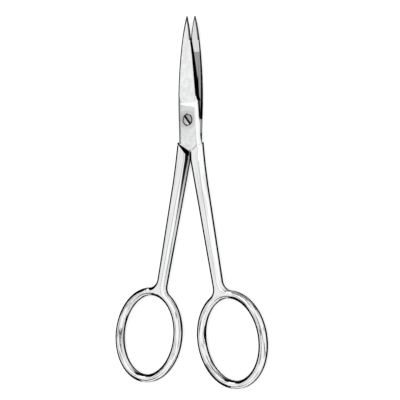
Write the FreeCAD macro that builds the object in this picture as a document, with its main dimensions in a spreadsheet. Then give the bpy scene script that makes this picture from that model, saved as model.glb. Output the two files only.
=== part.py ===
import FreeCAD, Part
import math
import os
import re

import Sketcher

# Dissecting scissors, lying flat: +Y runs to the tips, +Z is up, and the screw's axis is the Z axis.
# Both halves are one shape. It is drawn closed, with its blade along +Y and its ring on +X, and the back
# half is the same shape turned over. Lengths are millimetres and angles are degrees.

SIZES = {
    # the joint
    "opening": 4.8,
    "joint_thickness": 3.8,
    "lap_gap": 0.03,
    "plate_left": 4.35,
    "plate_corner_x": 4.5,
    "plate_corner_y": -8.8,
    "plate_end_y": -11.6,
    "plate_right_x": 5.15,
    "plate_right_y": -9.6,
    "plate_waist_x": 4.35,
    "plate_waist_y": -6.0,
    "shoulder_angle": 45.6,
    "shoulder_clearance": 0.13,
    "plate_round": 0.45,
    "flat_depth": 0.1,
    "flat_point_x": 1.0,
    "flat_point_y": -12.2,
    "flat_side_x": 3.8,
    "flat_side_y": -9.7,
    "flat_right_x": 3.1,
    # the shank
    "crotch_gap": 0.06,
    "crotch_end_y": -15.2,
    "shank_lean": 9.45,
    "shank_offset": 0.16,
    "shank_width": 4.97,
    "shank_width_place": -22.4,
    "shank_narrowing": 0.0306,
    "shank_top_y": -24.0,
    "shank_top_curve": 200.0,
    "edge_round": 1.3,
    # the finger ring
    "ring_x": 16.26,
    "ring_y": -82.48,
    "ring_lean": 13.0,
    "ring_hole_width": 24.85,
    "ring_hole_length": 30.8,
    "ring_stock": 2.95,
    "outer_blend": 4.3,
    "inner_blend": 3.5,
    # the blade
    "tip_x": -0.08,
    "tip_y": 39.1,
    "tip_half_width": 0.15,
    "spine_mid_x": 2.35,
    "spine_mid_y": 29.9,
    "spine_tip_curve": 75.0,
    "spine_root_curve": 160.0,
    "edge_end_x": 1.33,
    "edge_end_y": 29.9,
    "edge_tip_curve": 55.0,
    "edge_root_x": 3.55,
    "edge_root_y": 8.9,
    "edge_belly_curve": 420.0,
    "corner_x": 4.2,
    "corner_y": 7.0,
    "ramp_length": 2.8,
    "ramp_foot_y": 7.8,
    "root_inset": 0.3,
    "blade_thickness": 1.35,
    "tip_thickness": 0.6,
    "face_tilt": 4.0,
    "spine_round": 0.25,
    "bevel_width": 0.3,
    "bevel_height": 0.25,
    "edge_land": 0.8,
    "hollow_curve": 22.0,
    "hollow_left_x": -3.3,
    "hollow_right_x": 1.5,
    "hollow_start_y": 9.0,
    "hollow_length": 31.0,
    "hollow_runout": 0.2,
    # the screw
    "shoulder_diameter": 3.0,
    "shoulder_fit": 0.03,
    "thread_diameter": 2.6,
    "thread_lead": 0.25,
    "head_diameter": 4.1,
    "head_fit": 0.2,
    "head_seat_depth": 0.6,
    "head_proud": 0.25,
    "head_crown": 0.12,
    "axial_play": 0.02,
    "slot_width": 0.6,
    "slot_depth": 0.5,
    "slot_angle": 131.0,
    # how far the cutting outlines run past the metal
    "cut_reach": 80.0,
    "cut_rise": 0.4,
    "bevel_reach": 4.0,
}

doc = FreeCAD.newDocument("dissecting_scissors")
sheet = doc.addObject("Spreadsheet::Sheet", "Sizes")
for row, (alias, value) in enumerate(SIZES.items(), start=1):
    sheet.set(f"A{row}", alias)
    sheet.set(f"B{row}", str(value))
    sheet.setAlias(f"B{row}", alias)
doc.recompute()


def cells(formula):
    """Writes a formula of size names as one of sheet cells."""
    return re.sub(r"[a-z_]+", lambda word: f"Sizes.{word[0]}" if word[0] in SIZES else word[0], formula)


def size(formula):
    """Gives the value of a formula of size names, as a plain number."""
    value = sheet.evalExpression(cells(formula))
    return float(getattr(value, "Value", value))


def sketch_on(body, name, role, shift=("0", "0", "0"), axis=(0, 0, 1), turn="0"):
    """Starts a sketch on one of the body's own origin planes, moved by shift and turned about axis."""
    sketch = body.newObject("Sketcher::SketchObject", name)
    plane = next(item for item in body.Origin.OriginFeatures if item.Role == role)
    sketch.AttachmentSupport = (plane, "")
    sketch.MapMode = "FlatFace"
    sketch.AttachmentOffset = FreeCAD.Placement(FreeCAD.Vector(), FreeCAD.Rotation(FreeCAD.Vector(*axis), 1))
    for letter, formula in zip("xyz", shift):
        sketch.setExpression(f"AttachmentOffset.Base.{letter}", cells(formula))
    sketch.setExpression("AttachmentOffset.Rotation.Angle", cells(turn))
    return sketch


def bind(sketch, constraint, formula):
    """Adds a dimension to the sketch and ties it to a formula of size names."""
    index = sketch.addConstraint(constraint)
    sketch.setExpression(f"Constraints[{index}]", cells(formula))


def outline(sketch, corners):
    """Draws a closed outline. Each corner is (x, y) or (x, y, radius, side): the edge that leaves it is a
    line, or an arc of that radius that bows to its left (side 1) or to its right (side -1)."""
    points = [FreeCAD.Vector(size(corner[0]), size(corner[1]), 0) for corner in corners]
    count = len(corners)
    ends = []
    for index, corner in enumerate(corners):
        start, stop = points[index], points[(index + 1) % count]
        if len(corner) == 2:
            edge = sketch.addGeometry(Part.LineSegment(start, stop))
            ends.append((edge, 1, 2))
            continue
        radius, side = size(corner[2]), corner[3]
        half = (stop - start) * 0.5
        left = FreeCAD.Vector(-half.y, half.x, 0).normalize() * side
        centre = start + half - left * math.sqrt(radius**2 - half.Length**2)
        forward = side < 0
        first, last = (start, stop) if forward else (stop, start)
        turns = [math.atan2(point.y - centre.y, point.x - centre.x) for point in (first, last)]
        whole = Part.Circle(centre, FreeCAD.Vector(0, 0, 1), radius)
        edge = sketch.addGeometry(Part.ArcOfCircle(whole, turns[0], turns[1]))
        ends.append((edge, 1, 2) if forward else (edge, 2, 1))
    for index, corner in enumerate(corners):
        edge, first, last = ends[index]
        following = ends[(index + 1) % count]
        sketch.addConstraint(Sketcher.Constraint("Coincident", edge, last, following[0], following[1]))
        bind(sketch, Sketcher.Constraint("DistanceX", -1, 1, edge, first, points[index].x), corner[0])
        bind(sketch, Sketcher.Constraint("DistanceY", -1, 1, edge, first, points[index].y), corner[1])
        if len(corner) == 4:
            bind(sketch, Sketcher.Constraint("Radius", edge, size(corner[2])), corner[2])


def oval(sketch, half_long, half_wide):
    """Draws an ellipse about the sketch's origin, with its long axis along the sketch's Y."""
    longer, shorter = size(half_long), size(half_wide)
    origin = FreeCAD.Vector()
    ellipse = Part.Ellipse(FreeCAD.Vector(0, longer, 0), FreeCAD.Vector(-shorter, 0, 0), origin)
    edge = sketch.addGeometry(ellipse)
    sketch.exposeInternalGeometry(edge)
    sketch.addConstraint(Sketcher.Constraint("Coincident", edge, 3, -1, 1))
    sketch.addConstraint(Sketcher.Constraint("Vertical", edge + 1))
    bind(sketch, Sketcher.Constraint("Distance", edge + 1, 2 * longer), f"2 * ({half_long})")
    bind(sketch, Sketcher.Constraint("Distance", edge + 2, 2 * shorter), f"2 * ({half_wide})")


def circle(sketch, diameter):
    """Draws a circle about the sketch's origin."""
    ring = Part.Circle(FreeCAD.Vector(), FreeCAD.Vector(0, 0, 1), size(diameter) / 2)
    edge = sketch.addGeometry(ring)
    sketch.addConstraint(Sketcher.Constraint("Coincident", edge, 3, -1, 1))
    bind(sketch, Sketcher.Constraint("Diameter", edge, size(diameter)), diameter)


def pad(body, name, sketch, length):
    """Raises the sketch by length along its normal."""
    feature = body.newObject("PartDesign::Pad", name)
    feature.Profile = sketch
    feature.setExpression("Length", cells(length))
    doc.recompute()
    return feature


def pocket(body, name, sketch, length=None, reverse=False, both=False):
    """Cuts the sketch into the body, and stops if nothing comes off."""
    before = body.Shape.Volume
    feature = body.newObject("PartDesign::Pocket", name)
    feature.Profile = sketch
    feature.Reversed = reverse
    feature.Midplane = both
    if length is None:
        feature.Type = "ThroughAll"
    else:
        feature.setExpression("Length", cells(length))
    doc.recompute()
    if body.Shape.Volume > before - 1e-4:
        raise RuntimeError(f"{body.Label}: {name} cuts nothing")
    return feature


def round_edges(body, name, base, chosen, radius):
    """Rounds the edges of base for which chosen(edge) holds."""
    names = [f"Edge{index}" for index, edge in enumerate(base.Shape.Edges, start=1) if chosen(edge)]
    feature = body.newObject("PartDesign::Fillet", name)
    feature.Base = (base, names)
    feature.setExpression("Radius", cells(radius))
    doc.recompute()
    return feature


def is_flat_at(edge, height):
    """Tells if an edge lies in the level plane at this height."""
    box = edge.BoundBox
    return abs(box.ZMin - height) < 1e-4 and abs(box.ZMax - height) < 1e-4


def is_upright(edge):
    """Tells if an edge runs along Z."""
    box = edge.BoundBox
    return box.XLength < 1e-4 and box.YLength < 1e-4 and box.ZLength > 1e-3


def is_upright_near(edge, x, top):
    """Tells if an upright edge stands at this x and below the level top."""
    return is_upright(edge) and abs(edge.BoundBox.XMax - x) < 1e-3 and edge.BoundBox.YMax < top


def shank_width_at(height):
    """Gives the formula of the shank's width at this height on the body's Y axis."""
    return f"(shank_width + shank_narrowing * ({height} - shank_width_place))"


def shank_border(height, side):
    """Gives the formula of the x of the shank's inner (-1) or outer (1) border at this height."""
    half_width = f"{shank_width_at(height)} / 2 / cos(shank_lean)"
    return f"shank_offset - tan(shank_lean) * ({height}) + {side} * {half_width}"


def shoulder_height(x):
    """Gives the formula of the shoulder line's y at this x."""
    corner = "plate_corner_x * sin(shoulder_angle) - plate_corner_y * cos(shoulder_angle)"
    return f"({x} * sin(shoulder_angle) - ({corner} + shoulder_clearance)) / cos(shoulder_angle)"


def flare_curve():
    """Gives the formula of the radius with which the plate's flare runs smoothly into its right border."""
    out, up = "(plate_right_x - plate_waist_x)", "(plate_waist_y - plate_right_y)"
    lean = "atan((plate_waist_x - corner_x) / (corner_y - plate_waist_y))"
    return f"sqrt({out} ^ 2 + {up} ^ 2) / (2 * sin(atan({out} / {up}) - {lean}))"


def scissor_half(name, bore, seat):
    """Builds one half, closed, with its blade in the upper layer. bore is the formula of its hole's
    diameter, and seat says if the screw's head is let into it."""
    body = doc.addObject("PartDesign::Body", name)
    body.Label = name
    lap_plane = ("0", "0", "joint_thickness / 2 + lap_gap / 2")
    ring_place = ("ring_x", "ring_y", "0")
    layer = "joint_thickness / 2 - lap_gap / 2"
    thickness = size("joint_thickness")
    shank_top = size("shank_top_y")

    plan = sketch_on(body, f"{name}_handle_plan", "XY_Plane")
    outline(plan, [
        ("-plate_left", "edge_root_y"),
        ("-plate_corner_x", "plate_corner_y"),
        ("crotch_gap", "plate_end_y"),
        ("crotch_gap", "crotch_end_y"),
        (shank_border("ring_y", -1), "ring_y"),
        (shank_border("ring_y", 1), "ring_y"),
        (shank_border("shank_top_y", 1), "shank_top_y", "shank_top_curve", 1),
        ("plate_right_x", "plate_right_y", flare_curve(), 1),
        ("plate_waist_x", "plate_waist_y"),
        ("corner_x", "corner_y"),
        ("edge_root_x", "edge_root_y"),
    ])
    pad(body, f"{name}_handle", plan, "joint_thickness")

    disc = sketch_on(body, f"{name}_ring_plan", "XY_Plane", ring_place, (0, 0, 1), "ring_lean")
    oval(disc, "ring_hole_length / 2 + ring_stock", "ring_hole_width / 2 + ring_stock")
    ring = pad(body, f"{name}_ring", disc, "joint_thickness")

    corners = [edge.BoundBox for edge in ring.Shape.Edges if is_upright(edge)]
    across = [box.XMax for box in corners if box.YMax < shank_top]
    inner_x, outer_x = min(across), max(across)
    outer = round_edges(body, f"{name}_outer_blend", ring,
                        lambda edge: is_upright_near(edge, outer_x, shank_top), "outer_blend")
    round_edges(body, f"{name}_inner_blend", outer,
                lambda edge: is_upright_near(edge, inner_x, shank_top), "inner_blend")

    eye = sketch_on(body, f"{name}_ring_hole_plan", "XY_Plane", ring_place, (0, 0, 1), "ring_lean")
    oval(eye, "ring_hole_length / 2", "ring_hole_width / 2")
    blank = pocket(body, f"{name}_ring_hole", eye, reverse=True)

    foot = size("plate_right_y") - 1e-3
    round_edges(body, f"{name}_rounding", blank,
                lambda edge: (is_flat_at(edge, 0) or is_flat_at(edge, thickness))
                and (edge.BoundBox.XMax < 0 or edge.BoundBox.YMin < foot), "edge_round")

    relief = sketch_on(body, f"{name}_lap_plan", "XY_Plane", lap_plane)
    outline(relief, [
        ("-cut_reach", shoulder_height("-cut_reach")),
        ("cut_reach", shoulder_height("cut_reach")),
        ("cut_reach", "2 * cut_reach"),
        ("-cut_reach", "2 * cut_reach"),
    ])
    pocket(body, f"{name}_lap", relief)

    blade = sketch_on(body, f"{name}_blade_plan", "XY_Plane", lap_plane)
    outline(blade, [
        ("-plate_left", "edge_root_y", "spine_root_curve", 1),
        ("-spine_mid_x", "spine_mid_y", "spine_tip_curve", 1),
        ("tip_x - tip_half_width", "tip_y"),
        ("tip_x + tip_half_width", "tip_y", "edge_tip_curve", 1),
        ("edge_end_x", "edge_end_y", "edge_belly_curve", 1),
        ("edge_root_x", "edge_root_y"),
        ("edge_root_x - root_inset", "ramp_foot_y"),
        ("-plate_left + root_inset", "ramp_foot_y"),
    ])
    pad(body, f"{name}_blade", blade, layer)

    block = sketch_on(body, f"{name}_plate_plan", "XY_Plane", lap_plane)
    outline(block, [
        ("-plate_left", "edge_root_y"),
        ("-plate_corner_x", "plate_corner_y"),
        ("crotch_gap", "plate_end_y"),
        ("plate_right_x - edge_round", "plate_right_y"),
        ("plate_right_x", "plate_right_y", flare_curve(), 1),
        ("plate_waist_x", "plate_waist_y"),
        ("corner_x", "corner_y"),
        ("edge_root_x", "edge_root_y"),
    ])
    plate = pad(body, f"{name}_plate", block, layer)
    top = size("edge_root_y") + 1e-3
    round_edges(body, f"{name}_plate_rounding", plate,
                lambda edge: is_flat_at(edge, thickness) and edge.BoundBox.YLength > size("plate_left")
                and edge.BoundBox.YMin > foot and edge.BoundBox.YMax < top, "plate_round")

    grind = sketch_on(body, f"{name}_face_profile", "YZ_Plane", ("0", "0", "0"), (1, 0, 0), "face_tilt")
    drop = "(joint_thickness / 2 - blade_thickness)"
    curve = f"((ramp_length ^ 2 + {drop} ^ 2) / (2 * {drop}))"
    rise = f"({drop} + cut_rise)"
    ramp_top_y = f"ramp_foot_y - sqrt(2 * {curve} * {rise} - {rise} ^ 2)"
    outline(grind, [
        (ramp_top_y, "joint_thickness + cut_rise", curve, -1),
        ("ramp_foot_y", "joint_thickness / 2 + blade_thickness"),
        ("tip_y", "joint_thickness / 2 + tip_thickness"),
        ("cut_reach", "joint_thickness / 2 + tip_thickness"),
        ("cut_reach", "2 * joint_thickness"),
        (ramp_top_y, "2 * joint_thickness"),
    ])
    faced = pocket(body, f"{name}_face", grind, both=True)

    root_y, lowest = size("edge_root_y"), thickness / 2 + size("tip_thickness") / 2
    edge_x = size("tip_x - tip_half_width")
    round_edges(body, f"{name}_spine_rounding", faced,
                lambda edge: edge.BoundBox.ZMin > lowest and edge.BoundBox.YMin > root_y - 1e-3
                and edge.BoundBox.YLength > 0.05 and edge.BoundBox.XMax < edge_x + 1e-3, "spine_round")

    belly = "((edge_end_y - edge_root_y) ^ 2 / (8 * edge_belly_curve))"
    bevel_start = (f"edge_root_x + {belly}", "joint_thickness / 2 + lap_gap / 2 + edge_land", "-edge_root_y")
    bevel = sketch_on(body, f"{name}_bevel_profile", "XZ_Plane", bevel_start, (0, 1, 0),
                      "atan((edge_root_x - edge_end_x) / (edge_end_y - edge_root_y))")
    outline(bevel, [
        ("0", "0"),
        ("-bevel_reach * bevel_width", "bevel_reach * bevel_height"),
        ("bevel_reach * bevel_width", "bevel_reach * bevel_height"),
        ("bevel_reach * bevel_width", "0"),
    ])
    pocket(body, f"{name}_bevel", bevel, "cut_reach")

    flat = sketch_on(body, f"{name}_flat_plan", "XY_Plane", ("0", "0", "joint_thickness"))
    fall = "((flat_side_y - flat_point_y) / (flat_side_x - flat_point_x))"
    outline(flat, [
        ("-2 * plate_corner_x", "ramp_foot_y"),
        ("-2 * plate_corner_x", f"flat_point_y - {fall} * (flat_point_x + 2 * plate_corner_x)"),
        ("flat_side_x", "flat_side_y"),
        ("flat_right_x", "ramp_foot_y"),
    ])
    pocket(body, f"{name}_flat", flat, "flat_depth")

    hollow_start = ("0", "joint_thickness / 2 + lap_gap / 2", "-hollow_start_y")
    hollow = sketch_on(body, f"{name}_hollow_profile", "XZ_Plane", hollow_start, (1, 0, 0), "-hollow_runout")
    outline(hollow, [
        ("hollow_left_x", "0", "hollow_curve", 1),
        ("hollow_right_x", "0"),
        ("hollow_right_x", "-joint_thickness"),
        ("hollow_left_x", "-joint_thickness"),
    ])
    pocket(body, f"{name}_hollow", hollow, "hollow_length")

    hole = sketch_on(body, f"{name}_bore_plan", "XY_Plane")
    circle(hole, bore)
    pocket(body, f"{name}_bore", hole, reverse=True)
    if seat:
        well = sketch_on(body, f"{name}_head_seat_plan", "XY_Plane", ("0", "0", "joint_thickness"))
        circle(well, "head_diameter + 2 * head_fit")
        pocket(body, f"{name}_head_seat", well, "head_seat_depth")
    return body


def pivot_screw(name):
    """Builds the slotted screw: a head with a low crown, a bearing shoulder and a threaded end."""
    body = doc.addObject("PartDesign::Body", name)
    body.Label = name
    profile = sketch_on(body, f"{name}_profile", "XZ_Plane")
    step = "joint_thickness / 2 - lap_gap / 2"
    under_head = "joint_thickness - head_seat_depth + axial_play"
    rim = "joint_thickness - flat_depth + head_proud - head_crown"
    outline(profile, [
        ("0", "0"),
        ("thread_diameter / 2 - thread_lead", "0"),
        ("thread_diameter / 2", "thread_lead"),
        ("thread_diameter / 2", step),
        ("shoulder_diameter / 2", step),
        ("shoulder_diameter / 2", under_head),
        ("head_diameter / 2", under_head),
        ("head_diameter / 2", rim, "((head_diameter / 2) ^ 2 + head_crown ^ 2) / (2 * head_crown)", -1),
        ("0", f"{rim} + head_crown"),
    ])
    turned = body.newObject("PartDesign::Revolution", f"{name}_turned")
    turned.Profile = profile
    turned.ReferenceAxis = (profile, ["V_Axis"])
    turned.Angle = 360
    doc.recompute()
    crown = ("0", "0", f"{rim} + head_crown")
    slot = sketch_on(body, f"{name}_slot_plan", "XY_Plane", crown, (0, 0, 1), "slot_angle")
    outline(slot, [
        ("-head_diameter", "-slot_width / 2"),
        ("head_diameter", "-slot_width / 2"),
        ("head_diameter", "slot_width / 2"),
        ("-head_diameter", "slot_width / 2"),
    ])
    pocket(body, f"{name}_slot", slot, "slot_depth")
    return body


front = scissor_half("front_half", "shoulder_diameter + 2 * shoulder_fit", True)
back = scissor_half("back_half", "thread_diameter", False)
screw = pivot_screw("pivot_screw")

front.setExpression("Placement.Rotation.Angle", cells("opening / 2"))
back.Placement = FreeCAD.Placement(FreeCAD.Vector(), FreeCAD.Rotation(FreeCAD.Vector(0, 1, 0), 180))
back.setExpression("Placement.Rotation.Axis.x", cells("sin(opening / 4)"))
back.setExpression("Placement.Rotation.Axis.y", cells("cos(opening / 4)"))
back.setExpression("Placement.Base.z", cells("joint_thickness"))
doc.recompute()

for item in doc.Objects:
    if "Invalid" in item.State or "Error" in item.State:
        raise RuntimeError(f"{item.Name} is in state {item.State}")
for piece in (front, back, screw):
    if piece.Shape.isNull() or not piece.Shape.isValid() or len(piece.Shape.Solids) != 1:
        raise RuntimeError(f"{piece.Label} isn't one sound solid")

os.makedirs("parts", exist_ok=True)
for piece in (front, back, screw):
    piece.Shape.exportStep(f"parts/{piece.Label}.step")
    print(piece.Label, round(piece.Shape.Volume, 2), piece.Shape.BoundBox)
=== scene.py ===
"""Finishes, light and camera of a pair of dissecting scissors that lie flat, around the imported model."""

import logging
import math
from dataclasses import dataclass, field
from enum import Enum
from functools import partial, reduce

import bpy
from mathutils import Matrix, Vector

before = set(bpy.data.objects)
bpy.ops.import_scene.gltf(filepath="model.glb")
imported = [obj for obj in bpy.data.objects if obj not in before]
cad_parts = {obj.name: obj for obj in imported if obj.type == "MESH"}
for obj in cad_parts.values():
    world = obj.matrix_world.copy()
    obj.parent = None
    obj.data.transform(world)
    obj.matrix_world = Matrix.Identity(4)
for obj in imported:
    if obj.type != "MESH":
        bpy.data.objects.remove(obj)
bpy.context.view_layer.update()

MM = 0.001
EDGE_TINT = (0.02, 0.02, 0.02, 1.0)
log = logging.getLogger("scissors")

Socket = bpy.types.NodeSocket
Triple = tuple[float, float, float]
Pair = tuple[float, float]
# Where a step starts and ends, and if they aren't 0 and 1, the values before and after it.
Step = tuple[float, ...]


class Side(Enum):
    """The two halves. The value says if the half is turned over about the Y axis."""

    FRONT = False
    BACK = True


class NodeSheet:
    """Writes the nodes of one material or world, one call a node."""

    def __init__(self, tree: bpy.types.NodeTree) -> None:
        """Clears the tree.

        Args:
            tree: the node tree to write.
        """
        self.tree = tree
        tree.nodes.clear()

    def add(self, kind: str, inputs: dict | None = None, **settings: object) -> bpy.types.Node:
        """Adds a node.

        Args:
            kind: the node's type name without the ShaderNode at its start.
            inputs: values or sockets by input name or number.
            settings: the node's own properties.

        Returns:
            The new node.
        """
        node = self.tree.nodes.new(f"ShaderNode{kind}")
        for name, value in settings.items():
            setattr(node, name, value)
        for key, value in (inputs or {}).items():
            if isinstance(value, bpy.types.NodeSocket):
                self.tree.links.new(value, node.inputs[key])
            else:
                node.inputs[key].default_value = value
        return node

    def math(self, operation: str, *terms: Socket | float, clamp: bool = False) -> Socket:
        """Adds a Math node.

        Args:
            operation: its operation's name.
            terms: one to three numbers or sockets.
            clamp: True keeps the result between 0 and 1.

        Returns:
            Its output.
        """
        inputs = dict(enumerate(terms))
        return self.add("Math", inputs, operation=operation, use_clamp=clamp).outputs[0]

    def above(self, value: Socket, limit: float) -> Socket:
        """Gives 1 where the value is over the limit, or else 0."""
        return self.math("GREATER_THAN", value, limit)

    def below(self, value: Socket, limit: float) -> Socket:
        """Gives 1 where the value is under the limit, or else 0."""
        return self.math("LESS_THAN", value, limit)

    def within(self, value: Socket, low: float, high: float) -> Socket:
        """Gives 1 where the value is between the limits, or else 0."""
        return self.both(self.above(value, low), self.below(value, high))

    def both(self, *shares: Socket | float) -> Socket:
        """Multiplies values, so that shares show only where all of them do."""
        return reduce(partial(self.math, "MULTIPLY"), shares)

    def most(self, *shares: Socket) -> Socket:
        """Gives the largest of the shares."""
        return reduce(partial(self.math, "MAXIMUM"), shares)

    def length(self, across: Socket, along: Socket) -> Socket:
        """Gives the length of a flat vector from its two parts."""
        squares = (self.math("POWER", part, 2.0) for part in (across, along))
        return self.math("SQRT", self.math("ADD", *squares))

    def distance(self, place: Socket, point: Triple) -> Socket:
        """Gives the distance of a place from a point."""
        return self.add("VectorMath", {0: place, 1: point}, operation="DISTANCE").outputs["Value"]

    def turn(self, place: Socket, degrees: float) -> Socket:
        """Turns a place about the Z axis."""
        inputs = {"Vector": place, "Rotation": (0.0, 0.0, math.radians(degrees))}
        return self.add("VectorRotate", inputs, rotation_type="EULER_XYZ").outputs[0]

    def stretch(self, place: Socket, factors: Triple) -> Socket:
        """Multiplies a place by one factor a direction."""
        return self.add("VectorMath", {0: place, 1: factors}, operation="MULTIPLY").outputs[0]

    def dot(self, value: Socket, way: Triple) -> Socket:
        """Gives how far a vector goes along a way."""
        return self.add("VectorMath", {0: value, 1: way}, operation="DOT_PRODUCT").outputs["Value"]

    def scale(self, colour: Triple | Socket, factor: Socket) -> Socket:
        """Gives a colour times a factor."""
        return self.add("VectorMath", {0: colour, 3: factor}, operation="SCALE").outputs[0]

    def choose(self, pick: Socket, first: Socket, second: Socket | float) -> Socket:
        """Gives the first value where pick is 0 and the second where it is 1."""
        gap = self.math("SUBTRACT", second, first)
        return self.math("MULTIPLY_ADD", gap, pick, first)

    def ramp(self, value: Socket, low: float, high: float, start: float = 0.0, end: float = 1.0) -> Socket:
        """Turns a value into a smooth step.

        Args:
            value: what is measured.
            low: the value at which the step starts.
            high: the value at which it ends.
            start: the result up to low.
            end: the result from high on.

        Returns:
            The step's output.
        """
        inputs = {"Value": value, "From Min": low, "From Max": high, "To Min": start, "To Max": end}
        return self.add("MapRange", inputs, interpolation_type="SMOOTHSTEP").outputs["Result"]

    def noise(self, place: Socket, scale: float, detail: float = 4.0) -> Socket:
        """Adds an even noise.

        Args:
            place: where the noise is read.
            scale: how many grains fit in one unit of place.
            detail: its octaves.

        Returns:
            Its value, about 0.5.
        """
        inputs = {"Vector": place, "Scale": scale, "Detail": detail}
        return self.add("TexNoise", inputs).outputs["Fac"]

    def mix(self, factor: Socket | float, first: Socket | Triple, second: Socket | Triple) -> Socket:
        """Mixes two colours.

        Args:
            factor: the share of the second one.
            first: a colour or a socket.
            second: a colour or a socket.

        Returns:
            The mixed colour.
        """
        node = self.add("Mix", data_type="RGBA")
        for key, value in (("Factor_Float", factor), ("A_Color", first), ("B_Color", second)):
            socket = next(item for item in node.inputs if item.identifier == key)
            if isinstance(value, bpy.types.NodeSocket):
                self.tree.links.new(value, socket)
            elif isinstance(value, tuple):
                socket.default_value = (*value, 1.0)
            else:
                socket.default_value = value
        return next(item for item in node.outputs if item.identifier == "Result_Color")

    def steel(self, colour: Socket, roughness: Socket | float, relief: Pair, height: Socket) -> None:
        """Ends a material as bare steel with a fine relief.

        Args:
            colour: its colour.
            roughness: its roughness.
            relief: how strong the relief is, and how deep in millimetres.
            height: the relief's height from 0 to 1.
        """
        strength, depth = relief
        bump = self.add("Bump", {"Strength": strength, "Distance": depth * MM, "Height": height})
        skin = self.add("BsdfPrincipled", {
            "Base Color": colour, "Metallic": 1.0, "Roughness": roughness, "Normal": bump.outputs[0],
            "Specular Tint": EDGE_TINT,
        })
        self.add("OutputMaterial", {"Surface": skin.outputs[0]})


@dataclass(frozen=True)
class Reading:
    """What a half's material reads at a point of its surface.

    place, x, y and z are millimetres on the half as drawn closed, blade uppermost. height is millimetres
    over the table, and away the distance from where the pivot axis meets the top face. facing is the
    surface's direction as it lies on the table, lift its part upward and right its part to the right. level
    is its part out of the half's own outer face, and inward its part toward the other half's shank. upright
    is 1 on walls.
    """

    place: Socket
    x: Socket
    y: Socket
    z: Socket
    height: Socket
    away: Socket
    facing: Socket
    level: Socket
    upright: Socket
    lift: Socket
    right: Socket
    inward: Socket


@dataclass(frozen=True)
class Arc:
    """A flat arc on the half as drawn closed, which bows to the left of the way from start to stop."""

    start: Pair
    stop: Pair
    radius: float

    def depth(self, sheet: NodeSheet, at: Reading) -> Socket:
        """Gives how deep inside the arc a place lies.

        Args:
            sheet: the nodes it is written to.
            at: the readings.

        Returns:
            The depth in millimetres.
        """
        start = Vector(self.start)
        half = (Vector(self.stop) - start) / 2
        left = Vector((-half.y, half.x)).normalized()
        centre = start + half - left * math.sqrt(self.radius**2 - half.length_squared)
        flat = sheet.add("CombineXYZ", {"X": at.x, "Y": at.y}).outputs[0]
        return sheet.math("SUBTRACT", self.radius, sheet.distance(flat, (*centre, 0.0)))


@dataclass(frozen=True)
class Mark:
    """Something painted on part of a half's steel, mostly painted shade and painted reflection. Its places
    and widths are in millimetres.
    """

    def share(self, sheet: NodeSheet, at: Reading) -> Socket:
        """Gives how much of it shows, from 0 to 1."""
        raise NotImplementedError


@dataclass(frozen=True)
class LowWallShade(Mark):
    """Painted shade on the walls near the table, weaker beside the joint and on the shanks' inner sides."""

    height: Step = (1.80, 2.10, 1.0, 0.0)
    joint_foot: Step = (-5.0, -4.4)
    joint_top: Step = (0.2, 0.5, 1.0, 0.0)
    joint_share: float = 0.7
    shank_inward: float = 0.2
    shank_top: float = -11.0
    shank_foot: Step = (-52.0, -42.0)
    shank_height: Step = (1.55, 1.80, 0.0, 0.45)

    def share(self, sheet: NodeSheet, at: Reading) -> Socket:
        """Gives how dark it is.

        Args:
            sheet: the nodes it is written to.
            at: the readings.

        Returns:
            The share of dark steel.
        """
        joint = sheet.both(
            sheet.ramp(at.y, *self.joint_foot),
            sheet.ramp(at.y, *self.joint_top),
            sheet.below(at.x, 0.0),
            self.joint_share,
        )
        shank = sheet.both(
            sheet.above(at.inward, self.shank_inward),
            sheet.below(at.y, self.shank_top),
            sheet.ramp(at.y, *self.shank_foot),
            sheet.ramp(at.height, *self.shank_height),
        )
        bare = sheet.most(joint, shank)
        return sheet.both(sheet.ramp(at.height, *self.height), at.upright, sheet.math("SUBTRACT", 1.0, bare))


@dataclass(frozen=True)
class JointCornerShade(Mark):
    """Painted shade on the ground edge, on the foot of the plate and on the shoulder."""

    side: Side
    edge_foot: float = 7.0
    bevel_level: Pair = (-0.5, 0.9)
    bevel_foot: float = 8.2
    foot_reach: Step = (-0.5, 1.0)
    foot_depth: Step = (2.3, 2.6, 1.0, 0.0)
    shoulder_angle: float = 45.6
    shoulder_facing: float = 0.8
    shoulder_reach: Pair = (-16.0, 2.0)

    def share(self, sheet: NodeSheet, at: Reading) -> Socket:
        """Gives how dark it is.

        Args:
            sheet: the nodes it is written to.
            at: the readings.

        Returns:
            The share of dark steel.
        """
        edge_side = sheet.above(at.x, 0.0)
        wall = sheet.both(edge_side, at.upright)
        ground = sheet.both(wall, sheet.above(at.y, self.edge_foot))
        bevel = sheet.both(
            edge_side,
            sheet.within(at.level, *self.bevel_level),
            sheet.above(at.y, self.bevel_foot),
        )
        foot = sheet.both(wall, sheet.ramp(at.y, *self.foot_reach), sheet.ramp(at.z, *self.foot_depth))
        angle = math.radians(self.shoulder_angle)
        across = math.sin(angle) if self.side.value else -math.sin(angle)
        toward = sheet.dot(at.facing, (across, math.cos(angle), 0.0))
        shoulder = sheet.both(
            sheet.above(toward, self.shoulder_facing),
            sheet.within(at.y, *self.shoulder_reach),
        )
        return sheet.most(ground, bevel, foot, shoulder)


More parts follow.
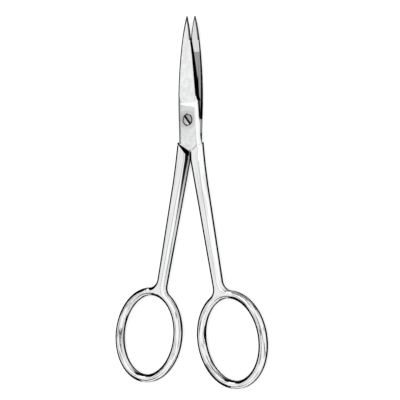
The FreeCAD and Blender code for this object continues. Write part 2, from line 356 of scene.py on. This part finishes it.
@dataclass(frozen=True)
class InnerShadeLine(Mark):
    """The painted shade line along the shank's inner rounding, wide at the crotch and thin toward the ring.
    """

    shank_top: float = -10.5
    shank_foot: Step = (-62.0, -56.0)
    line_lift: Step = (-46.0, -13.0, 0.50, 0.93)
    line_edge: Step = (0.0, 0.08)
    line_least: Step = (0.15, 0.30)
    line_inward: float = 0.1
    line_share: Step = (-48.0, -18.0, 0.6, 1.0)
    wall_lift: float = 0.3
    wall_inward: float = 0.2
    wall_share: Step = (-50.0, -18.0, 0.15, 0.45)

    def share(self, sheet: NodeSheet, at: Reading) -> Socket:
        """Gives how dark it is.

        Args:
            sheet: the nodes it is written to.
            at: the readings.

        Returns:
            The share of dark steel.
        """
        under = sheet.math("SUBTRACT", sheet.ramp(at.y, *self.line_lift), at.lift)
        line = sheet.both(
            sheet.ramp(under, *self.line_edge),
            sheet.ramp(at.lift, *self.line_least),
            sheet.above(at.inward, self.line_inward),
            sheet.ramp(at.y, *self.line_share),
            sheet.ramp(at.y, *self.shank_foot),
        )
        wall = sheet.both(
            sheet.below(at.lift, self.wall_lift),
            sheet.above(at.inward, self.wall_inward),
            sheet.ramp(at.y, *self.wall_share),
        )
        return sheet.both(sheet.most(line, wall), sheet.below(at.y, self.shank_top))


@dataclass(frozen=True)
class RoundReflectionLines(Mark):
    """The fine line where the handle's flat top meets its rounding on the right, and the dark left one: both
    painted dark reflections.
    """

    handle_top: float = -10.0
    fine_lift: Pair = (0.975, 0.9985)
    fine_right: float = 0.04
    fine_share: float = 0.45
    left_lift: Step = (0.9975, 0.9995, 1.0, 0.0)
    left_least: float = 0.35
    left_facing: Step = (-0.06, -0.03, 1.0, 0.0)

    def share(self, sheet: NodeSheet, at: Reading) -> Socket:
        """Gives how dark it is.

        Args:
            sheet: the nodes it is written to.
            at: the readings.

        Returns:
            The share of dark steel.
        """
        fine = sheet.both(
            sheet.within(at.lift, *self.fine_lift),
            sheet.above(at.right, self.fine_right),
            self.fine_share,
        )
        left = sheet.both(
            sheet.ramp(at.lift, *self.left_lift),
            sheet.above(at.lift, self.left_least),
            sheet.ramp(at.right, *self.left_facing),
        )
        return sheet.both(sheet.most(fine, left), sheet.below(at.y, self.handle_top))


@dataclass(frozen=True)
class BorderReflectionLine(Mark):
    """The thin dark line along the spine, the plate's border on the same side and both sides of the tip, a
    painted dark reflection.
    """

    root: Arc = Arc((-4.35, 8.9), (-2.35, 29.9), 160.0)
    spine: Arc = Arc((-2.35, 29.9), (-0.23, 39.1), 75.0)
    edge: Arc = Arc((0.07, 39.1), (1.33, 29.9), 55.0)
    plate_slope: float = -0.0085
    plate_foot: float = -8.9
    width: Step = (7.0, 9.5, 0.95, 0.64)
    wider: Step = (29.0, 36.0, 0.0, 0.08)
    strength: Step = (7.0, 9.5, 0.72, 0.95)
    least_depth: float = 2.2
    tip_foot: float = 30.0
    tip_level: float = 0.9
    tip_width: float = 0.45
    tip_share: float = 0.85

    def share(self, sheet: NodeSheet, at: Reading) -> Socket:
        """Gives how dark it is.

        Args:
            sheet: the nodes it is written to.
            at: the readings.

        Returns:
            The share of dark steel.
        """
        start_x, start_y = self.root.start
        plate = sheet.math("MULTIPLY_ADD", sheet.math("SUBTRACT", at.y, start_y), self.plate_slope, at.x)
        inside = sheet.math("SUBTRACT", plate, start_x)
        spine = self.spine.depth(sheet, at)
        inside = sheet.choose(sheet.above(at.y, start_y), inside, self.root.depth(sheet, at))
        inside = sheet.choose(sheet.above(at.y, self.spine.start[1]), inside, spine)
        width = sheet.math("ADD", sheet.ramp(at.y, *self.width), sheet.ramp(at.y, *self.wider))
        line = sheet.both(
            sheet.below(sheet.math("SUBTRACT", inside, width), 0.0),
            sheet.above(at.z, self.least_depth),
            sheet.below(at.x, 0.0),
            sheet.above(at.y, self.plate_foot),
            sheet.ramp(at.y, *self.strength),
        )
        near = sheet.math("MINIMUM", self.edge.depth(sheet, at), spine)
        tip = sheet.both(
            sheet.below(near, self.tip_width),
            sheet.above(at.y, self.tip_foot),
            sheet.above(sheet.math("ABSOLUTE", at.level), self.tip_level),
            self.tip_share,
        )
        return sheet.most(line, tip)


@dataclass(frozen=True)
class RecessShadeLine(Mark):
    """The thin painted shade lines at the lower right of the plate's recess and round the left of the
    screw's seat.
    """

    face_level: float = 0.8
    side_x: float = 3.45
    side_slope: float = 0.04
    side_half: float = 0.10
    side_share: Step = (-5.0, -2.0, 0.55, 0.12)
    side_foot: float = -9.7
    foot: Pair = (1.0, -12.2)
    foot_slope: float = -0.893
    foot_half: float = 0.22
    foot_share: Step = (1.4, 2.4, 0.0, 0.85)
    foot_end: float = 3.9
    seat_radius: float = 2.5
    seat_share: float = 0.6

    def share(self, sheet: NodeSheet, at: Reading) -> Socket:
        """Gives how dark it is.

        Args:
            sheet: the nodes it is written to.
            at: the readings.

        Returns:
            The share of dark steel.
        """
        off = sheet.math("MULTIPLY_ADD", at.y, self.side_slope, sheet.math("SUBTRACT", at.x, self.side_x))
        side = sheet.both(
            sheet.below(sheet.math("ABSOLUTE", off), self.side_half),
            sheet.ramp(at.y, *self.side_share),
            sheet.above(at.y, self.side_foot),
        )
        foot_x, foot_y = self.foot
        off = sheet.math("MULTIPLY_ADD", sheet.math("SUBTRACT", at.x, foot_x), self.foot_slope, at.y)
        foot = sheet.both(
            sheet.below(sheet.math("ABSOLUTE", sheet.math("SUBTRACT", off, foot_y)), self.foot_half),
            sheet.ramp(at.x, *self.foot_share),
            sheet.below(at.x, self.foot_end),
        )
        seat = sheet.both(
            sheet.below(at.away, self.seat_radius),
            sheet.below(at.x, 0.0),
            self.seat_share,
        )
        return sheet.both(sheet.most(side, foot, seat), sheet.above(at.level, self.face_level))


@dataclass(frozen=True)
class ShankReflectionBands(Mark):
    """Painted soft grey reflection bands along the shank."""

    lean: float = 9.45
    grain: Triple = (1.5, 0.05, 0.3)
    detail: float = 3.0
    edge: Step = (0.48, 0.64)
    foot: Step = (-68.0, -60.0)
    top: Step = (-16.0, -9.0, 1.0, 0.0)
    strength: float = 0.28

    def share(self, sheet: NodeSheet, at: Reading) -> Socket:
        """Gives how grey it is.

        Args:
            sheet: the nodes it is written to.
            at: the readings.

        Returns:
            The share of grey.
        """
        along = sheet.stretch(sheet.turn(at.place, -self.lean), self.grain)
        return sheet.both(
            sheet.ramp(sheet.noise(along, 1.0, self.detail), *self.edge),
            sheet.ramp(at.y, *self.foot),
            sheet.ramp(at.y, *self.top),
            self.strength,
        )


@dataclass(frozen=True)
class PlateFade(Mark):
    """The grey of the plate: round the screw, on its left and toward its top."""

    halo: Step = (2.2, 4.6, 0.30, 0.0)
    left: Step = (-4.0, -1.0, 0.25, 0.0)
    left_foot: Step = (-9.0, -2.0)
    top: Step = (-7.0, 3.0, 0.06, 0.20)

    def share(self, sheet: NodeSheet, at: Reading) -> Socket:
        """Gives how grey it is.

        Args:
            sheet: the nodes it is written to.
            at: the readings.

        Returns:
            The share of grey.
        """
        halo = sheet.ramp(at.away, *self.halo)
        left = sheet.both(sheet.ramp(at.x, *self.left), sheet.ramp(at.y, *self.left_foot))
        return sheet.math("ADD", sheet.math("ADD", halo, left), sheet.ramp(at.y, *self.top))


@dataclass(frozen=True)
class InnerShade(Mark):
    """The painted shade of the blade's inner face: less near the tip, and most in a wedge of painted shadow
    beside the joint.
    """

    face: Step = (25.4, 25.8, 0.62, 0.15)
    wedge_x: float = 4.87
    wedge_slope: float = -0.117
    wedge_edge: Step = (-0.05, 0.15)
    wedge_top: Step = (15.0, 19.0, 1.0, 0.0)
    wedge_foot: float = 7.5

    def share(self, sheet: NodeSheet, at: Reading) -> Socket:
        """Gives how dark it is.

        Args:
            sheet: the nodes it is written to.
            at: the readings.

        Returns:
            The share of dark steel on that face.
        """
        beside = sheet.math("MULTIPLY_ADD", at.y, self.wedge_slope, self.wedge_x)
        wedge = sheet.both(
            sheet.ramp(sheet.math("ADD", beside, at.x), *self.wedge_edge),
            sheet.ramp(at.y, *self.wedge_top),
            sheet.above(at.y, self.wedge_foot),
        )
        return sheet.most(sheet.ramp(at.y, *self.face), wedge)


@dataclass(frozen=True)
class RingReflectionMarks:
    """The ring's painted soft grey reflection bands, its painted short dark reflection streaks and its
    painted dark outline, all along the ring.
    """

    middle: Triple = (16.26, -82.48, 0.0)
    lean: float = 13.0
    half_size: Pair = (13.9, 16.9)
    across_grain: float = 30.0
    round_grain: float = 1.6
    detail: float = 2.0
    soft_scale: float = 0.8
    soft_edge: Step = (0.38, 0.56)
    sharp_scale: float = 1.3
    sharp_edge: Step = (0.55, 0.58)
    limbs: Step = (0.35, 0.8)
    streak_top: float = -64.0
    streak_share: float = 0.85
    line_top: Step = (-68.0, -62.0, 1.0, 0.0)
    line_edge: Step = (0.0, 0.06)
    line_left: Step = (-0.6, 0.0, 0.98, 0.77)
    line_right: Step = (0.0, 0.7, 0.0, -0.65)
    line_ahead: float = 0.15
    line_variety: float = 0.4

    def outline(self, sheet: NodeSheet, at: Reading, soft: Socket) -> Socket:
        """Gives the painted dark outline: wide on slopes that face left or up the picture, thin on the other
        ones.

        Args:
            sheet: the nodes it is written to.
            at: the readings.
            soft: the noise that varies its width.

        Returns:
            The share of dark steel.
        """
        rise = sheet.math(
            "ADD",
            sheet.ramp(at.right, *self.line_left),
            sheet.ramp(at.right, *self.line_right),
        )
        ahead = sheet.dot(at.facing, (0.0, 1.0, 0.0))
        rise = sheet.math("MULTIPLY_ADD", ahead, self.line_ahead, rise)
        variety = sheet.math("MULTIPLY_ADD", soft, self.line_variety, -self.line_variety / 2)
        rise = sheet.math("ADD", rise, variety)
        return sheet.both(
            sheet.ramp(sheet.math("SUBTRACT", rise, at.lift), *self.line_edge),
            sheet.ramp(at.y, *self.line_top),
            sheet.above(at.lift, 0.0),
        )

    def shares(self, sheet: NodeSheet, at: Reading) -> tuple[Socket, Socket]:
        """Gives how grey and how dark the ring is.

        Args:
            sheet: the nodes it is written to.
            at: the readings.

        Returns:
            The share of grey and the share of dark steel.
        """
        about = sheet.add("VectorMath", {0: at.place, 1: self.middle}, operation="SUBTRACT").outputs[0]
        width, height = self.half_size
        about = sheet.stretch(sheet.turn(about, -self.lean), (1 / width, 1 / height, 1.0))
        parts = sheet.add("SeparateXYZ", {0: about}).outputs
        place = sheet.add("CombineXYZ", {
            "X": sheet.both(sheet.length(parts["X"], parts["Y"]), self.across_grain),
            "Y": sheet.both(sheet.math("ARCTAN2", parts["X"], parts["Y"]), self.round_grain),
            "Z": at.z,
        }).outputs[0]
        soft = sheet.noise(place, self.soft_scale, self.detail)
        sharp = sheet.noise(place, self.sharp_scale, self.detail)
        here = sheet.both(
            sheet.below(at.y, self.streak_top),
            sheet.ramp(sheet.math("ABSOLUTE", parts["X"]), *self.limbs),
        )
        grey = sheet.both(sheet.ramp(soft, *self.soft_edge), here)
        streak = sheet.both(sheet.ramp(sharp, *self.sharp_edge), here, self.streak_share)
        return grey, sheet.most(streak, self.outline(sheet, at, soft))


@dataclass(frozen=True)
class HalfSteel:
    """The steel of one half: satin ground blade and joint plate, polished shank and finger ring."""

    side: Side
    opening: float = 4.8
    thickness: float = 3.8
    wall_level: float = 0.75
    blade_foot: float = 7.2
    plate_depth: Pair = (0.04, 0.3)
    plate_level: float = 0.98
    inner_level: float = -0.9
    inner_depth: float = 1.0

    polished: Triple = (0.84, 0.845, 0.85)
    satin: Triple = (0.81, 0.815, 0.82)
    plate_grey: Triple = (0.3, 0.3, 0.3)
    # Grey of the painted reflections on the ring and the shank.
    painted_reflection_grey: Triple = (0.25, 0.25, 0.25)
    # Dark of the painted shade and shadow on the blade's inner face.
    painted_inner_shade: Triple = (0.02, 0.02, 0.02)
    # Dark of the painted shade and painted dark reflections along edges, in corners and on walls.
    dark: Triple = (0.01, 0.01, 0.01)
    ring_painted_grey_share: float = 0.13

    cloud_scale: float = 0.55
    cloud_detail: float = 5.0
    grind_grain: Triple = (0.35, 9.0, 0.35)
    polish_grain: Triple = (7.0, 0.25, 7.0)
    grain_detail: float = 3.0
    cloud_tone: Pair = (0.5, 0.75)
    grind_tone: Pair = (0.24, 0.88)
    polish_tone: Pair = (0.08, 0.96)

    polished_roughness: float = 0.08
    satin_roughness: float = 0.16
    inner_roughness: float = 0.05
    roughness_spread: float = 0.10
    relief: Pair = (0.06, 0.02)

    def read(self, sheet: NodeSheet) -> Reading:
        """Reads the place on the half as drawn closed, in millimetres, blade uppermost.

        Args:
            sheet: the nodes it is written to.

        Returns:
            The readings.
        """
        at = sheet.add("TexCoord").outputs["Object"]
        turn = (0.0, math.pi if self.side.value else 0.0, -math.radians(self.opening / 2))
        shift = (0.0, 0.0, self.thickness if self.side.value else 0.0)
        inputs = {"Vector": at, "Location": shift, "Rotation": turn, "Scale": (1 / MM,) * 3}
        place = sheet.add("Mapping", inputs).outputs["Vector"]
        spot = sheet.add("SeparateXYZ", {0: place}).outputs
        facing = sheet.add("NewGeometry").outputs["Normal"]
        facing = sheet.add("VectorTransform", {0: facing}, vector_type="NORMAL",
                           convert_from="WORLD", convert_to="OBJECT").outputs[0]
        way = sheet.add("SeparateXYZ", {0: facing}).outputs
        sign = -1.0 if self.side.value else 1.0
        level = sheet.both(way["Z"], sign)
        return Reading(
            place=place,
            x=spot["X"],
            y=spot["Y"],
            z=spot["Z"],
            height=sheet.both(sheet.add("SeparateXYZ", {0: at}).outputs["Z"], 1 / MM),
            away=sheet.distance(place, (0.0, 0.0, self.thickness)),
            facing=facing,
            level=level,
            upright=sheet.below(sheet.math("ABSOLUTE", level), self.wall_level),
            lift=way["Z"],
            right=way["X"],
            inward=sheet.both(way["X"], -sign),
        )

    def painted_dark_share(self, sheet: NodeSheet, at: Reading, ring: Socket) -> Socket:
        """Gives where painted shade and painted dark reflections darken the steel: along edges, in corners
        and on walls.

        Args:
            sheet: the nodes it is written to.
            at: the readings.
            ring: the ring's own share of dark steel.

        Returns:
            The share of dark steel.
        """
        # Marks of painted shade and painted dark reflection.
        marks = (LowWallShade(), JointCornerShade(self.side), InnerShadeLine(), BorderReflectionLine(), RecessShadeLine(), RoundReflectionLines())
        return sheet.most(*(mark.share(sheet, at) for mark in marks), ring)

    def material(self) -> bpy.types.Material:
        """Builds the material.

        Returns:
            The material.
        """
        made = bpy.data.materials.new(f"half_steel_{self.side.name.lower()}")
        made.use_nodes = True
        sheet = NodeSheet(made.node_tree)
        at = self.read(sheet)

        shallow, deep = self.plate_depth
        blade = sheet.both(sheet.above(at.y, self.blade_foot), sheet.above(at.level, 0.0))
        plate = sheet.both(
            sheet.within(at.z, self.thickness - deep, self.thickness - shallow),
            sheet.above(at.level, self.plate_level),
        )
        satin = sheet.most(blade, plate)
        inner = sheet.both(sheet.below(at.level, self.inner_level), sheet.above(at.z, self.inner_depth))

        cloud = sheet.noise(at.place, self.cloud_scale, self.cloud_detail)
        grind = sheet.noise(sheet.stretch(at.place, self.grind_grain), 1.0, self.grain_detail)
        polish = sheet.noise(sheet.stretch(at.place, self.polish_grain), 1.0, self.grain_detail)

        tone = sheet.math("MULTIPLY_ADD", cloud, *self.cloud_tone)
        tone = sheet.both(tone, sheet.math("MULTIPLY_ADD", grind, *self.grind_tone))
        shine = sheet.math("MULTIPLY_ADD", polish, *self.polish_tone)
        # The ring's painted grey reflections, and its painted dark reflection streaks and outline.
        ring_painted_grey, ring_painted_dark = RingReflectionMarks().shares(sheet, at)
        steel = sheet.mix(satin, sheet.scale(self.polished, shine), sheet.scale(self.satin, tone))
        layers = (
            (sheet.both(PlateFade().share(sheet, at), plate), self.plate_grey),
            # Painted shade and shadow on the blade's inner face.
            (sheet.both(InnerShade().share(sheet, at), inner), self.painted_inner_shade),
            # Painted grey reflections on the ring.
            (sheet.both(ring_painted_grey, self.ring_painted_grey_share), self.painted_reflection_grey),
            # Painted grey reflections on the shank.
            (ShankReflectionBands().share(sheet, at), self.painted_reflection_grey),
            # Painted shade and painted dark reflections along edges, in corners and on walls.
            (self.painted_dark_share(sheet, at, ring_painted_dark), self.dark),
        )
        for share, colour in layers:
            steel = sheet.mix(share, steel, colour)

        spread = self.roughness_spread
        rough = sheet.math("MULTIPLY_ADD", grind, spread, self.satin_roughness - spread / 2)
        smooth = sheet.math("MULTIPLY_ADD", polish, spread, self.polished_roughness - spread / 2)
        roughness = sheet.choose(satin, smooth, rough)
        roughness = sheet.choose(inner, roughness, self.inner_roughness)
        sheet.steel(steel, roughness, self.relief, sheet.choose(satin, polish, grind))
        return made


@dataclass(frozen=True)
class ScrewSteel:
    """The turned steel of the screw, with rings left by the tool; painted shade darkens one half of its
    head, its slot and its rim.
    """

    colour: Triple = (0.78, 0.785, 0.79)
    # Dark of the painted shade in the slot, on the rim and below the head's top.
    dark: Triple = (0.01, 0.01, 0.01)
    roughness: float = 0.3
    cloud_scale: float = 1.5
    cloud_tone: Pair = (0.5, 0.75)
    slot_angle: float = 131.0
    slot_lip: Step = (0.42, 0.48)
    shaded_half: Step = (-0.2, 0.2, 0.50, 1.0)
    rim: Step = (1.78, 1.90, 1.0, 0.0)
    head: Step = (3.80, 3.84)
    end: float = 1.0
    rings_per_mm: float = 60.0
    relief: Pair = (0.15, 0.01)

    def material(self) -> bpy.types.Material:
        """Builds the material.

        Returns:
            The material.
        """
        made = bpy.data.materials.new("screw_steel")
        made.use_nodes = True
        sheet = NodeSheet(made.node_tree)
        place = sheet.stretch(sheet.add("TexCoord").outputs["Object"], (1 / MM,) * 3)
        spot = sheet.add("SeparateXYZ", {0: place}).outputs
        radius = sheet.length(spot["X"], spot["Y"])
        turn = math.radians(self.slot_angle)
        side = sheet.dot(place, (-math.sin(turn), math.cos(turn), 0.0))
        tone = sheet.math("MULTIPLY_ADD", sheet.noise(place, self.cloud_scale), *self.cloud_tone)
        # Painted shade on one half of the head.
        colour = sheet.scale(sheet.scale(self.colour, tone), sheet.ramp(side, *self.shaded_half))
        # Painted shade in the slot, beyond the rim and below the head's top face, except the lowest
        # millimetre.
        shown = sheet.both(
            sheet.ramp(sheet.math("ABSOLUTE", side), *self.slot_lip),
            sheet.ramp(radius, *self.rim),
            sheet.ramp(spot["Z"], *self.head),
        )
        shown = sheet.most(shown, sheet.below(spot["Z"], self.end))
        rings = sheet.math("SINE", sheet.both(radius, self.rings_per_mm))
        sheet.steel(sheet.mix(shown, self.dark, colour), self.roughness, self.relief, rings)
        return made


@dataclass
class Scissors:
    """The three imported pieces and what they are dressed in."""

    front: HalfSteel = field(default_factory=lambda: HalfSteel(Side.FRONT))
    back: HalfSteel = field(default_factory=lambda: HalfSteel(Side.BACK))
    screw: ScrewSteel = field(default_factory=ScrewSteel)

    def dress(self) -> None:
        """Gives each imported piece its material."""
        finishes = (
            ("front_half", self.front, "polished_steel"),
            ("back_half", self.back, "polished_steel"),
            ("pivot_screw", self.screw, "screw_steel"),
        )
        for node, finish, slot in finishes:
            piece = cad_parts[node]
            piece.data.materials.clear()
            piece.data.materials.append(finish.material())
            log.info("%s dressed, %d faces", node, len(piece.data.polygons))


@dataclass
class Studio:
    """The table, the light and the camera.

    The eye, what it looks at, the lens and the sensor are in millimetres, and all other lengths in metres.
    """

    eye: Triple = (448.24, -30.13, 590.72)
    target: Triple = (2.92, -30.13, -0.30)
    roll: float = 0.216
    lens: float = 177.0
    sensor_width: float = 36.0
    clip: Pair = (0.01, 20.0)
    floor_half: float = 1.2
    floor_drop: float = 0.00002
    floor_tone: float = 0.6
    floor_lift: float = 0.62
    wall_radius: float = 1.15
    wall_height: float = 0.32
    wall_steps: int = 64
    wall_lift: float = 0.92
    tent_lean: float = 0.297
    tent_rim: Step = (0.455, 0.50)
    tent_right: Step = (-0.53, -0.30, 1.0, 1.15)
    strip_x: float = -0.6
    strip_half: Step = (0.10, 0.18, 1.0, 0.0)
    strip_ahead: Step = (0.26, 0.40)
    strip_foot: Step = (0.05, 0.15)
    strip_strength: float = 1.5
    key_place: Triple = (-0.10, 0.50, 0.86)
    key_size: float = 0.45
    key_power: float = 0.5

    def paper(self, name: str, lift: float) -> bpy.types.Material:
        """Makes the white of the table and of the low wall round it.

        Args:
            name: the material's name.
            lift: how much the eye and the steel see it brighter than its paint.

        Returns:
            The material.
        """
        made = bpy.data.materials.new(name)
        made.use_nodes = True
        sheet = NodeSheet(made.node_tree)
        tone = self.floor_tone
        paint = sheet.add("BsdfDiffuse", {"Color": (tone, tone, tone, 1.0)}).outputs[0]
        ray = sheet.add("LightPath").outputs
        seen = sheet.math("ADD", ray["Is Camera Ray"], ray["Is Glossy Ray"])
        seen = sheet.math("ADD", seen, ray["Is Transmission Ray"], clamp=True)
        shown = sheet.math("MULTIPLY", seen, lift)
        glow = sheet.add("Emission", {"Strength": shown}).outputs[0]
        whole = sheet.add("AddShader", {0: paint, 1: glow}).outputs[0]
        sheet.add("OutputMaterial", {"Surface": whole})
        return made

    def backdrop(self) -> None:
        """Stands a low white wall round the table."""
        turns = [math.tau * step / self.wall_steps for step in range(self.wall_steps)]
        ring = [(self.wall_radius * math.cos(turn), self.wall_radius * math.sin(turn)) for turn in turns]
        points = [(x, y, z) for z in (0.0, self.wall_height) for x, y in ring]
        count = self.wall_steps
        faces = [(i, (i + 1) % count, count + (i + 1) % count, count + i) for i in range(count)]
        mesh = bpy.data.meshes.new("wall")
        mesh.from_pydata(points, [], faces)
        wall = bpy.data.objects.new("wall", mesh)
        bpy.context.collection.objects.link(wall)
        mesh.materials.append(self.paper("wall_paint", self.wall_lift))
        log.info("wall stood")

    def floor(self) -> None:
        """Lays a plain white table under the scissors."""
        half = self.floor_half
        mesh = bpy.data.meshes.new("table")
        low = -self.floor_drop
        corners = [(-half, -half, low), (half, -half, low), (half, half, low), (-half, half, low)]
        mesh.from_pydata(corners, [], [(0, 1, 2, 3)])
        table = bpy.data.objects.new("table", mesh)
        bpy.context.collection.objects.link(table)
        mesh.materials.append(self.paper("table_paint", self.floor_lift))
        log.info("table laid")

    def sky(self) -> None:
        """Makes a bright tent overhead, dark near the horizon, and a bright strip low on the tips' left."""
        world = bpy.data.worlds.new("tent")
        world.use_nodes = True
        bpy.context.scene.world = world
        sheet = NodeSheet(world.node_tree)
        way = sheet.add("TexCoord").outputs["Generated"]
        way = sheet.add("SeparateXYZ", {0: way}).outputs
        lift = sheet.math("MULTIPLY_ADD", way["X"], self.tent_lean, way["Z"])
        tent = sheet.both(sheet.ramp(lift, *self.tent_rim), sheet.ramp(way["X"], *self.tent_right))
        aside = sheet.math("ABSOLUTE", sheet.math("SUBTRACT", way["X"], self.strip_x))
        strip = sheet.both(
            sheet.ramp(aside, *self.strip_half),
            sheet.ramp(way["Y"], *self.strip_ahead),
            sheet.ramp(way["Z"], *self.strip_foot),
            self.strip_strength,
        )
        glow = sheet.most(tent, strip)
        light = sheet.add("Background", {"Color": (1.0, 1.0, 1.0, 1.0), "Strength": glow}).outputs[0]
        sheet.add("OutputWorld", {"Surface": light})
        log.info("tent made")

    def lamp(self, name: str, place: Triple, size: float, power: float) -> None:
        """Hangs a square soft lamp that points at the joint.

        Args:
            name: the lamp's name.
            place: where it hangs, in metres.
            size: its side in metres.
            power: its power in watts.
        """
        light = bpy.data.lights.new(name, "AREA")
        light.shape = "SQUARE"
        light.size = size
        light.energy = power
        item = bpy.data.objects.new(name, light)
        item.location = place
        item.rotation_mode = "QUATERNION"
        item.rotation_quaternion = (-Vector(place)).to_track_quat("-Z", "Y")
        bpy.context.collection.objects.link(item)
        log.info("%s hung", name)

    def camera(self) -> None:
        """Sets the camera where the picture was taken from."""
        data = bpy.data.cameras.new("camera")
        data.sensor_width = self.sensor_width
        data.lens = self.lens
        data.clip_start, data.clip_end = self.clip
        item = bpy.data.objects.new("camera", data)
        eye, target = Vector(self.eye) * MM, Vector(self.target) * MM
        ahead = (target - eye).normalized()
        right = ahead.cross(Vector((0.0, 1.0, 0.0))).normalized()
        up = Matrix.Rotation(-math.radians(self.roll), 3, ahead) @ right.cross(ahead)
        right = ahead.cross(up)
        item.matrix_world = Matrix((
            (right.x, up.x, -ahead.x, eye.x),
            (right.y, up.y, -ahead.y, eye.y),
            (right.z, up.z, -ahead.z, eye.z),
            (0.0, 0.0, 0.0, 1.0),
        ))
        bpy.context.collection.objects.link(item)
        bpy.context.scene.camera = item
        log.info("camera set")

    def build(self) -> None:
        """Builds the whole studio."""
        self.camera()
        self.floor()
        self.backdrop()
        self.sky()
        self.lamp("key_lamp", self.key_place, self.key_size, self.key_power)
        bpy.context.scene.view_settings.view_transform = "Standard"


def main() -> None:
    """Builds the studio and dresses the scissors."""
    logging.basicConfig(level=logging.INFO, format="%(name)s: %(message)s")
    Studio().build()
    Scissors().dress()


if __name__ == "__main__":
    main()
